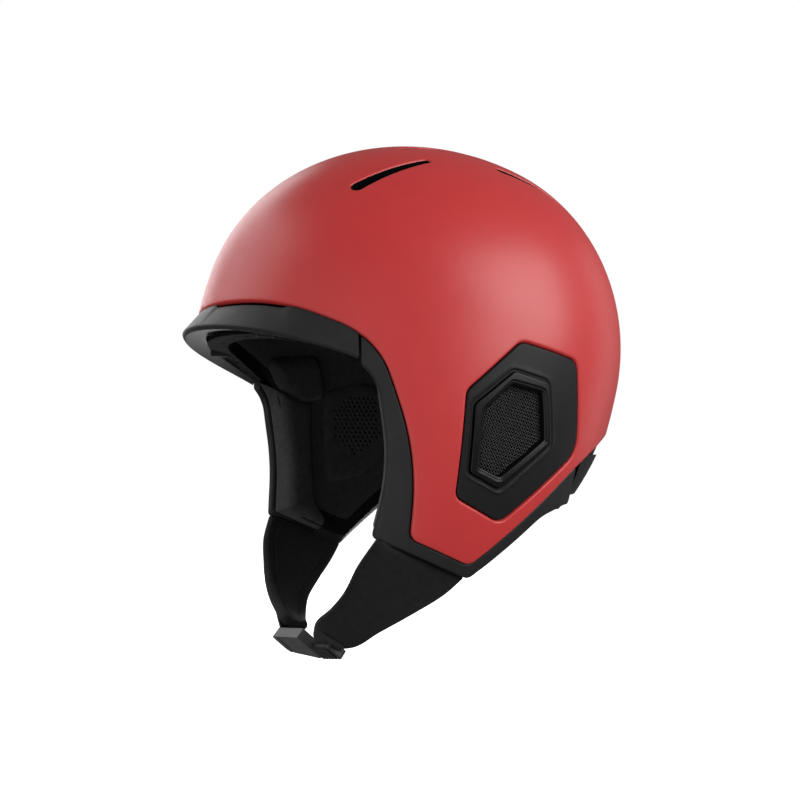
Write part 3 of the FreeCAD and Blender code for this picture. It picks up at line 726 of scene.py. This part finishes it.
def fillet_profile(corners):
    """Closed 2-D profile with a fixed number of points, each corner rounded to its own radius."""
    points = [np.array(c[:2], float) for c in corners]
    shares = [k / PROFILE_STEPS for k in range(PROFILE_STEPS + 1)]
    arcs = []
    for i, here in enumerate(points):
        before, after = unit(points[i - 1] - here), unit(points[(i + 1) % len(points)] - here)
        half = acos(np.clip(before @ after, -1, 1)) / 2
        reach = corners[i][2] / tan(half)
        start, end = here + before * reach, here + after * reach
        arcs.append([(1 - t) ** 2 * start + 2 * t * (1 - t) * here + t ** 2 * end for t in shares])
    out = []
    for arc, following in zip(arcs, arcs[1:] + arcs[:1]):
        a, b = arc[-1], following[0]
        out += arc + [a + (b - a) * k / (PROFILE_STEPS + 1) for k in range(1, PROFILE_STEPS + 1)]
    return np.array(out)


def peak_profile(azimuth):
    """3-D section of the peak in the upright plane at that angle from the front."""
    radial = np.array([sin(azimuth), -cos(azimuth), 0.0])

    def hit(z, inset):
        return cast(np.array([[0.0, 0.0, z]]), radial[None], inset)[0] @ radial

    forward = max(0.0, cos(azimuth * 1.9)) ** 0.8
    z_top = 15.0
    for _ in range(12):
        z_top = np.interp((radial * hit(z_top, 0.0))[1], *SHELL_LINE.T) - 0.35  # just under the shell's edge
    aside = hit(z_top, 0.0) * sin(azimuth)
    slot = np.clip(min(aside - SLOT_FROM, (SLOT_TO - aside) * 0.5) / 2.5, 0, 1)
    z_top -= SLOT_DEPTH * slot * slot * (3 - 2 * slot)
    lip_z = PEAK_SIDE_Z + PEAK_RISE * forward
    lip = hit(lip_z, PEAK_FACE) + PEAK_FLARE * forward
    flat = fillet_profile([
        (hit(z_top, PEAK_FACE), z_top, 0.9), (lip, lip_z, 1.3), (lip - 1.4, lip_z - 2.1, 1.1),
        (hit(lip_z - 1.5, PEAK_BACK), lip_z - 1.5, 1.6), (hit(z_top, PEAK_BACK), z_top, 0.5),
    ])
    return radial * flat[:, :1] + Z * flat[:, 1:]


def make_peak():
    steps = 96
    rings = [peak_profile(PEAK_SWEEP * k / steps) for k in range(steps + 1)]
    size = len(rings[0])
    verts = np.vstack(rings)
    verts[:size, 0] = 0.0
    verts, faces = join_mirror(verts, [face[::-1] for face in ring_faces(len(rings), size)])
    piece = make_object("peak_skin", verts, faces, TRIM, "peak", "peak_black", sharp=60)
    work = bmesh.new()
    work.from_mesh(piece.data)
    whole = work.verts[:] + work.edges[:] + work.faces[:]
    cut = bmesh.ops.bisect_plane(work, geom=whole, plane_co=(0, PEAK_SEAM_Y * MM, 0), plane_no=(0, 1, 0),
                                 clear_outer=True)
    rim = [e for e in cut["geom_cut"] if isinstance(e, bmesh.types.BMEdge)]
    for side in (1, -1):
        bmesh.ops.contextual_create(work, geom=[e for e in rim if e.verts[0].co.x * side > 0])
    bmesh.ops.recalc_face_normals(work, faces=work.faces[:])
    work.to_mesh(piece.data)
    work.free()
    piece.data.set_sharp_from_angle(angle=radians(50))
    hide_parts("peak")


# ---- soft sheets ----
EDGE_ROWS = [0.0, 0.12, 0.4, 0.8, 1.35, 2.0]  # distances from a rounded rim that get points


def catmull(points, at):
    """Smooth curve through the points, read at parameters 0 to len - 1."""
    points = np.asarray(points, float)
    padded = np.vstack([2 * points[0] - points[1], points, 2 * points[-1] - points[-2]])
    k = np.clip(np.floor(at).astype(int), 0, len(points) - 2)
    t = (at - k)[:, None]
    a, b, c, d = (padded[k + j] for j in range(4))
    bend, twist = 2 * a - 5 * b + 4 * c - d, 3 * b - a - 3 * c + d
    return 0.5 * (2 * b + (c - a) * t + bend * t ** 2 + twist * t ** 3)


def edge_spacing(length, step, rows=EDGE_ROWS):
    """Distances along a length, close together near its rounded ends."""
    stop = [length - r for r in reversed(rows)]
    middle = np.linspace(rows[-1], stop[0], max(2, int((stop[0] - rows[-1]) / step)) + 1)[1:-1]
    return np.concatenate([rows, middle, stop])


def sheet_mesh(fronts, rears, outs, thickness, step, outer_form, inner_form, end_round=0.0, start_round=0.0,
               rows=EDGE_ROWS):
    """Rounded sheet between two edge lines, each a list of stations, with its rim fully rounded.

    outer_form and inner_form give the extra height of each face from the distances to the front and
    the rear edge. end_round and start_round round the corners of the two ends in plan.
    """
    fine = np.linspace(0, len(fronts) - 1, 160)
    run = run_along((catmull(fronts, fine) + catmull(rears, fine)) / 2)
    stops = edge_spacing(run[-1], step, rows)
    at = np.interp(stops, run, fine)
    front, rear, out = catmull(fronts, at), catmull(rears, at), unit(catmull(outs, at))
    half = thickness / 2
    share = len(edge_spacing(40.0, step, rows))
    top, bottom = [], []
    for k, to_start in enumerate(stops):
        to_end = run[-1] - to_start
        tuck = max(rounding(to_end, end_round), rounding(to_start, start_round))
        span = np.linalg.norm(rear[k] - front[k]) - 2 * tuck
        middle = np.linspace(rows[-1], span - rows[-1], share - 2 * len(rows) + 2)[1:-1]
        spaced = np.concatenate([rows, middle, [span - r for r in reversed(rows)]])
        line = front[k] + unit(rear[k] - front[k]) * (tuck + spaced)[:, None]
        rim = np.minimum(np.minimum(spaced, span - spaced), min(to_end, to_start))
        fall = rounding(rim, half)
        near = np.clip(rim / half, 0, 1)
        gaps = (spaced + tuck, span + tuck - spaced)
        top.append(line + out[k] * (near * outer_form(*gaps) - fall)[:, None])
        bottom.append(line + out[k] * (near * -inner_form(*gaps) - thickness + fall)[:, None])
    return np.vstack(top + bottom), cushion_faces(len(stops), share)


FLAP_T, WEBBING_T = 4.0, 1.2
FLAP_ROOT = 3.2  # reach of the flap's skin above its first station, under the trim
STITCH_INSET = 7.6
FLAP_EDGES = [
    ((83, -74, -100.5), (81.5, -27.5, -120.5)),
    ((76, -78.5, -111.5), (76.5, -34, -127)),
    ((66, -81, -124.5), (66, -45.5, -136.5)),
    ((54, -83.5, -134), (54, -57, -146)),
    ((38, -85, -142), (38, -64.5, -155.5)),
]
SOCKET_SIDE_END = ((15, -78.2, -150.0), (15, -75.6, -158.8))
TONGUE_SIDE_END = ((15, -84.8, -151), (15, -70.4, -155.9))
# Directions of the chin strap's middle: across it, and down.
STRAP_ACROSS = np.array([0.0, 0.743, -0.669])
STRAP_DOWN = np.array([0.0, -0.669, -0.743])


def flap_lines(end):
    """Front edge, rear edge and outward direction at each station of a flap."""
    fronts, rears = np.array(FLAP_EDGES + [end], float).transpose(1, 0, 2)
    middles = (fronts + rears) / 2
    run = np.vstack([middles[1:], middles[-1:]]) - np.vstack([middles[:1], middles[:-1]])
    return fronts, rears, unit(np.cross(run, rears - fronts))


def both_edges(front_gap, rear_gap, centre, half_width):
    """Ridges at a distance from both edges."""
    return bead(front_gap, centre, half_width) + bead(rear_gap, centre, half_width)


def stitches(lines, outs, length=2.3, pitch=3.4, radius=0.28):
    """Short rounded threads lying along each line."""
    lift = np.sin(np.linspace(0, pi, 6))[:, None] * radius * 1.1 - radius * 0.7
    parts = []
    for line, out in zip(lines, outs):
        run = run_along(line)
        for start in np.arange(pitch / 2, run[-1] - length, pitch):
            at = start + np.linspace(0, length, 6)
            up = unit(read_line(out, run, at))
            parts.append(tube(read_line(line, run, at) + up * lift, radius, 6, up[0]))
    return merged(parts)


def make_flap(side, end):
    fronts, rears, outs = flap_lines(end)
    ahead = unit((fronts[1] + rears[1] - fronts[0] - rears[0]) / 2)
    fronts[0], rears[0] = fronts[0] - ahead * FLAP_ROOT, rears[0] - ahead * FLAP_ROOT

    def outer_form(*gaps):
        belly = 1 - np.exp(-np.minimum(*gaps) / 7.0)
        return 0.55 * belly - 0.22 * both_edges(*gaps, 4.2, 0.8)

    def inner_form(*gaps):
        return 0.8 * both_edges(*gaps, 2.8, 2.8) - 0.55 * both_edges(*gaps, 6.2, 0.9) + 0.25

    sheet = sheet_mesh(fronts, rears, outs, FLAP_T, 2.0, outer_form, inner_form, 3.5, 1.0)
    name = f"cheek_flap_{side}"
    piece = make_object(name + "_skin", *on_side(side, *sheet), NEOPRENE, f"flap_{side}", "neoprene")
    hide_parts(name)

    at = np.linspace(0.35, len(fronts) - 1.25, 90)
    front, rear, out = catmull(fronts, at), catmull(rears, at), unit(catmull(outs, at))
    across = unit(rear - front) * STITCH_INSET
    lines = [edge - out * (FLAP_T + 0.25) for edge in (front + across, rear - across)]
    threads = on_side(side, *stitches(lines, [-out, -out]))
    make_object(f"flap_stitching_{side}", *threads, WEBBING, f"flap_{side}", "webbing")


def make_flap_channels():
    """Slim half-round runner above each flap's rolled edge."""
    fronts, rears, outs = flap_lines(SOCKET_SIDE_END)
    along = unit(rears[0] - fronts[0])
    ends = [fronts[0] - outs[0] * 2.3 + along * 3.0, rears[0] - outs[0] * 2.3 - along * 3.0]
    up = unit(np.cross(outs[0], along))
    up = up if up[2] > 0 else -up
    out = unit(np.cross(along, up))
    angles = [radians(68 + 87 * k / 16) for k in range(17)]
    ring = [(out * cos(t) + up * sin(t)) * radius
            for radius, run in ((3.4, angles), (3.0, angles[::-1])) for t in run]
    size = len(ring)
    verts = np.vstack([end + np.array(ring) for end in ends])
    faces = ring_faces(2, size) + [tuple(range(size))[::-1], tuple(range(size, 2 * size))]
    both_sides("flap_channel", verts, faces, BLACK, "trim_black", sharp=40)


# ---- linings and pads ----
def pillow(distance, reach, depth):
    """Crowned cushion height at a distance from its edge."""
    t = 1 - np.clip(distance / reach, 0, 1)
    return depth * np.sqrt(np.maximum(0, 1 - t * t))


PAD_ROWS = [0.2, 0.6, 1.2, 2.2, 3.6, 5.4]


def crowned(outer_inset, depth, reach, seam_at=None):
    """Inset of a pad's inner face as a function of the distance from its edge."""
    def inner(edge):
        form = outer_inset + 0.6 + pillow(edge, reach, depth)
        return form if seam_at is None else form - 0.55 * bead(edge, seam_at, 1.1)
    return inner


def make_pad(name, loops, outer_inset, inner, mirror=False, rows=PAD_ROWS, straight=False):
    """Pad over a region of the dome, dimpled round any holes."""
    def bottom(gaps, at):
        return inner(gaps[0]) - sum(0.35 * (1 - np.clip(hole / 0.5, 0, 1)) ** 2 for hole in gaps[1:])

    verts, faces = slab(loops, lambda gaps, at: outer_inset, bottom, 2.6, rows, straight=straight)
    if mirror:
        form = join_mirror(verts, faces)
        made = [make_object(name + "_skin", *form, LINING, "helmet", "pad_fabric")]
        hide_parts(name)
    else:
        made = both_sides(name, verts, faces, LINING, "pad_fabric")


EAR_LINING = [(-42.5, -14, 8), (-8, -3, 10), (20, -10, 10), (22, -52, 14), (-10, -80, 12), (-42.5, -86, 6)]
TEMPLE_LINING = [
    (-97, 8, 5), (-50, 16, 6), (-43.5, -10, 5), (-45.5, -18.5, 3), (-66, -24.5, 5), (-84, -12.5, 6),
]
PERFORATED = [(-35, -28), (-15, -12), (5, -16), (8, -49), (-16, -64), (-34, -52)]
BROW_LINING = [(0, 20, 0), (60, 20, 7), (60, 45, 7), (0, 45, 0)]
CROWN_LINING = [
    (0, 57, 0), (11.5, 57, 7), (11.5, 5.5, 3), (45, 5.5, 6),
    (45, -17.5, 6), (11.5, -17.5, 3), (11.5, -65, 7), (0, -65, 0),
]
CHEEK_INSET, EAR_INSET, TOP_INSET = 5.2, 19.2, 19.3  # of the pads' outer faces
HOLE_PITCH, HOLE_R, HOLE_MIDDLE = 4.2, 1.25, np.array([-14.0, -38.0])


def perforations():
    """Small round holes on a triangular lattice inside the ear zone."""
    angles = np.arange(10) * pi / 5
    circle = HOLE_R * np.stack([np.cos(angles), np.sin(angles)], axis=-1)
    lattice = [(column + 0.5 * (row % 2), 0.866 * row) for row in range(-12, 13) for column in range(-12, 13)]
    centres = HOLE_MIDDLE + HOLE_PITCH * np.array(lattice)
    return [on_dome(centre + circle) for centre in centres[within(centres, np.array(PERFORATED, float))]]


def make_linings():
    front = offset(TRIM_LINE, CHEEK_INSET, closed=False)
    front = front[(front[:, 0] > SEAM_Y + 3.0) & (front[:, 0] < -40.0) & (front[:, 1] < -13.5)]
    corners = np.vstack([front, [[-36.0, -100.0], [CREASE_Y + 0.6, -88.0], [CREASE_Y + 0.3, -22.0]]])
    loop = resample(np.vstack([corners, corners[:1]]), 1.8, True)

    def cheek_inner(edge):
        ahead = np.clip(edge / 9.0, 0, 1)
        return CHEEK_INSET + 0.5 + pillow(edge, 4.5, 8.0 + 12.5 * ahead * (2 - ahead))

    ear, temple = (on_dome(rounded(corners, step=1.8)) for corners in (EAR_LINING, TEMPLE_LINING))
    make_pad("cheek_pad", [on_dome(loop)], CHEEK_INSET, cheek_inner, straight=True)
    make_pad("ear_pad", [ear] + perforations(), EAR_INSET, crowned(EAR_INSET, 3.2, 6.0), rows=[0.45, 1.0])
    make_pad("temple_pad", [temple], EAR_INSET, crowned(EAR_INSET, 6.0, 8.0, 6.5))


def half_loop(corners, up, towards, way):
    """Half outline with corners along X and up, cast onto the dome and closed on the middle plane."""
    flat = rounded(corners, closed=False, step=1.8)
    edge = cast(flat[:, :1] * X + flat[:, 1:] * up, np.tile(towards, (len(flat), 1)))
    edge[[0, -1], 0] = 0.0
    return np.vstack([edge, middle_arc(edge[-1], edge[0], way)])


def make_brow_and_crown_pads():
    brow, crown = half_loop(BROW_LINING, Z, -Y, 1), half_loop(CROWN_LINING, Y, Z, -1)
    make_pad("brow_pad", [brow], TOP_INSET, crowned(TOP_INSET, 5.8, 7.0, 7.5), mirror=True)
    make_pad("crown_pad", [crown], TOP_INSET, crowned(TOP_INSET, 5.8, 7.0), mirror=True)


# ---- comfort liner ----
def make_comfort_liner():
    """Brushed fabric over the foam, from the peak round to the nape."""
    edge = clipped(offset(SHELL_LINE, -2.0, closed=False))
    loop = np.vstack([edge, middle_arc(edge[-1], edge[0], 1)])

    def face(inset, way):
        return lambda gaps, at: inset + way * rounding(gaps[0], 1.2)

    verts, faces = slab([loop], face(18.3, 1), face(19.9, -1), 3.2, [0.4, 1.2])
    liner = make_object("comfort_liner", *join_mirror(verts, faces), LINING, "helmet", "pad_fabric")


# ---- webbing and cradle pads ----
SOCKET_AT, SOCKET_TILT, SOCKET_SLOT = np.array([12.3, -73.2, -159.9]), 14.0, 16.0
TONGUE_AT, TONGUE_TILT, TONGUE_SLOT = np.array([0.0, -77.7, -158.0]), 9.4, -18.0


def along_buckle(tilt):
    return X * cos(radians(tilt)) - STRAP_DOWN * sin(radians(tilt))


def make_webbing(side, last, first, end, end_width):
    """Strap over the flap from its station number first to an end inside the buckle's half."""
    stations = [((front + rear) / 2 + out * 1.6, unit(rear - front) * 7.0, out)
                for front, rear, out in list(zip(*flap_lines(last)))[first:5]]
    stations.append((end, STRAP_ACROSS * end_width / 2, STRAP_DOWN))
    middles, halves, outs = (np.array(column) for column in zip(*stations))

    def ribs(*gaps):
        return -0.12 * both_edges(*gaps, 1.6, 0.5)

    rows = [0.0, 0.1, 0.3, 0.6]
    sheet = sheet_mesh(middles - halves, middles + halves, outs, WEBBING_T, 1.5, ribs, ribs, rows=rows)
    name = f"chin_webbing_{side}"
    strap = make_object(name + "_skin", *on_side(side, *sheet), WEBBING, f"flap_{side}", "webbing")
    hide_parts(name)


def make_chin_webbing():
    socket_end = SOCKET_AT + along_buckle(SOCKET_TILT) * SOCKET_SLOT
    tongue_end = (TONGUE_AT + along_buckle(TONGUE_TILT) * TONGUE_SLOT) * [-1, 1, 1]
    make_webbing("left", SOCKET_SIDE_END, 4, socket_end, 8.0)
    make_webbing("right", TONGUE_SIDE_END, 3, tongue_end, 12.0)


CRADLE_R, CRADLE_IN = 74.0, 2.3  # outer radius of the cradle's band, and the depth where its pads begin
PAD_HALF_X, PAD_HALF_UP, PAD_CORNER = 18.0, 11.0, 6.0


def make_cradle_pads():
    """Two crowned pads on the inside of the cradle's band."""
    at = cast(np.array([[0.0, 0.0, -70.0]]), Y[None], 1.3, NAPE_SKIRT)
    out = normals(at, NAPE_SKIRT)[0]
    up = np.array([0.0, -out[2], out[1]])
    centre = at[0] - out * (23.0 + CRADLE_R)
    across = edge_spacing(2 * PAD_HALF_X, 1.6) - PAD_HALF_X
    along = edge_spacing(2 * PAD_HALF_UP, 1.6) - PAD_HALF_UP
    grid = np.stack([values.ravel() for values in np.meshgrid(across, along)])
    halves = np.array([[PAD_HALF_X], [PAD_HALF_UP]])

    def past_corners(grid):
        return np.maximum(np.abs(grid) - (halves - PAD_CORNER), 0)

    corner = past_corners(grid)
    beyond = np.maximum(np.hypot(*corner) / PAD_CORNER, 1)
    u, v = grid = np.sign(grid) * (np.abs(grid) - corner + corner / beyond)
    rim = np.minimum(PAD_CORNER - np.hypot(*past_corners(grid)), (halves - np.abs(grid)).min(axis=0))
    inner = CRADLE_R - CRADLE_IN - 0.7 - pillow(np.clip(rim, 0, None), 6.0, 3.0)
    parts = []
    for x in (-36.0, 36.0):
        layers = []
        for radius in (inner, np.full(len(u), CRADLE_R - CRADLE_IN)):
            reach = np.sqrt(radius ** 2 - (u + x) ** 2)
            layers.append(centre + up * v[:, None] + X * (u + x)[:, None] + out * reach[:, None])
        parts.append((np.vstack(layers), cushion_faces(len(along), len(across))))
    pads = make_object("cradle_pads_skin", *merged(parts), LINING, "cradle", "pad_fabric")
    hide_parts("cradle_pads")


# ---- carried-over CAD nodes ----
SLOT_MATERIALS = {
    "shell_red": RED, "liner_foam": FOAM, "peak_black": TRIM, "trim_black": TRIM, "nape_black": NAPE,
    "panel_black": PANEL, "mesh_black": MESH, "pad_fabric": LINING, "neoprene": NEOPRENE,
    "webbing": WEBBING, "buckle_grey": GREY, "buckle_black": BLACK, "dial_black": BLACK, "steel": STEEL,
}
BEVELLED = {  # bevel widths in mm
    "dial_knob": 0.5, "buckle_tongue": 0.7, "buckle_socket": 0.35, "fit_cradle": 0.5, "dial_housing": 0.6,
    "dial_housing_lid": 0.4, "peak_snap_pins": 0.4,
}


def dress_cad_nodes():
    slots = {part["node"]: part["material_slot"] for part in frame["record"]["subparts"]}
    for name, node in frame["nodes"].items():
        for holder in node.material_slots:
            holder.link = "OBJECT"
            holder.material = SLOT_MATERIALS[slots[name]]
        if name in BEVELLED:
            bevel = node.modifiers.new("edge", "BEVEL")
            bevel.width = BEVELLED[name] * MM
            bevel.segments = 3
            bevel.angle_limit = radians(40)
            bevel.harden_normals = True


# ---- stage, light and camera ----
# Lengths in this section are metres.
FLOOR_Z, FLOOR_REACH = -0.26, 12.0
LIGHT_AIM = Vector((0.0, -0.02, -0.03))
LIGHTS = [  # name, azimuth, elevation, distance, size, power
    ("key", 119, 20, 1.0, (0.7, 0.75), 9.8),
    ("front_strip", -73, 24, 1.0, (0.5, 0.9), 3.4),
    ("front_broad", -24, 28, 1.0, (0.8, 0.8), 4.3),
    ("front_wash", 36, 2, 1.2, (1.3, 1.1), 2.7),
    ("rear_strip", 179, 8, 1.0, (0.4, 0.9), 0.8),
    ("low_fill", 45, -32, 1.0, (0.9, 0.5), 2.1),
    ("far_rim", -110, -10, 1.0, (0.5, 0.6), 3.6),
]
CAMERA_AZ, CAMERA_EL, CAMERA_DISTANCE = 62.27, -6.63, 0.5


def make_floor():
    """Bright floor that the camera alone sees. It casts no shadow, as one lamp is below it."""
    mesh = bpy.data.meshes.new("floor")
    corners = [(x * FLOOR_REACH, y * FLOOR_REACH, FLOOR_Z) for x, y in ((-1, -1), (1, -1), (1, 1), (-1, 1))]
    mesh.from_pydata(corners, [], [(0, 1, 2, 3)])
    paint = material("pale_floor", (0.92, 0.92, 0.92), 0.9, mottle=0.01, grain=(400, 0.02), specular=0.1)
    put(paint.node_tree.nodes["Principled BSDF"], {"Emission Color": (1, 1, 1, 1), "Emission Strength": 0.93})
    mesh.materials.append(paint)
    floor = add_object("floor", mesh)
    floor.visible_diffuse = floor.visible_glossy = floor.visible_shadow = False


def place_around(azimuth, elevation, distance):
    """Place at that azimuth, elevation and distance from the origin."""
    a, e = radians(azimuth), radians(elevation)
    return Vector((sin(a) * cos(e), -cos(a) * cos(e), sin(e))) * distance


def make_lights():
    for name, azimuth, elevation, distance, size, power in LIGHTS:
        lamp = bpy.data.lights.new(name, "AREA")
        lamp.shape = "RECTANGLE"
        lamp.size, lamp.size_y = size
        lamp.energy = power
        holder = add_object(name, lamp)
        holder.location = place_around(azimuth, elevation, distance)
        holder.rotation_euler = (LIGHT_AIM - holder.location).to_track_quat("-Z", "Y").to_euler()


def make_world():
    """White for the camera and dimmer for the light it throws."""
    world = bpy.data.worlds.new("studio")
    bpy.context.scene.world = world
    world.use_nodes = True
    nodes, link = world.node_tree.nodes, world.node_tree.links.new
    backdrop, lighting = nodes["Background"], nodes.new("ShaderNodeBackground")
    for node, strength in ((backdrop, 1.0), (lighting, 0.17)):
        put(node, {"Color": (1, 1, 1, 1), "Strength": strength})
    choose = nodes.new("ShaderNodeMixShader")
    link(nodes.new("ShaderNodeLightPath").outputs["Is Camera Ray"], choose.inputs["Fac"])
    link(lighting.outputs["Background"], choose.inputs[1])
    link(backdrop.outputs["Background"], choose.inputs[2])
    link(choose.outputs["Shader"], nodes["World Output"].inputs["Surface"])


def make_camera():
    data = bpy.data.cameras.new("camera")
    data.lens = 37.74
    data.sensor_width = 36.0
    data.shift_x, data.shift_y = -0.040, -0.0564
    data.clip_start = 0.01
    camera = add_object("camera", data)
    camera.location = place_around(CAMERA_AZ, CAMERA_EL, CAMERA_DISTANCE)
    camera.rotation_euler = (-camera.location).to_track_quat("-Z", "Y").to_euler()
    bpy.context.scene.camera = camera
    bpy.context.scene.view_settings.view_transform = "Standard"


# ---- everything ----
make_shell()
make_vent_sleeves()
make_side_panels()
make_vent_frames()
make_ear_meshes()
make_side_trims()
make_nape()
make_peak()
make_flap("left", SOCKET_SIDE_END)
make_flap("right", TONGUE_SIDE_END)
make_flap_channels()
make_linings()
make_brow_and_crown_pads()
make_comfort_liner()
make_chin_webbing()
make_cradle_pads()
dress_cad_nodes()
make_floor()
make_lights()
make_world()
make_camera()
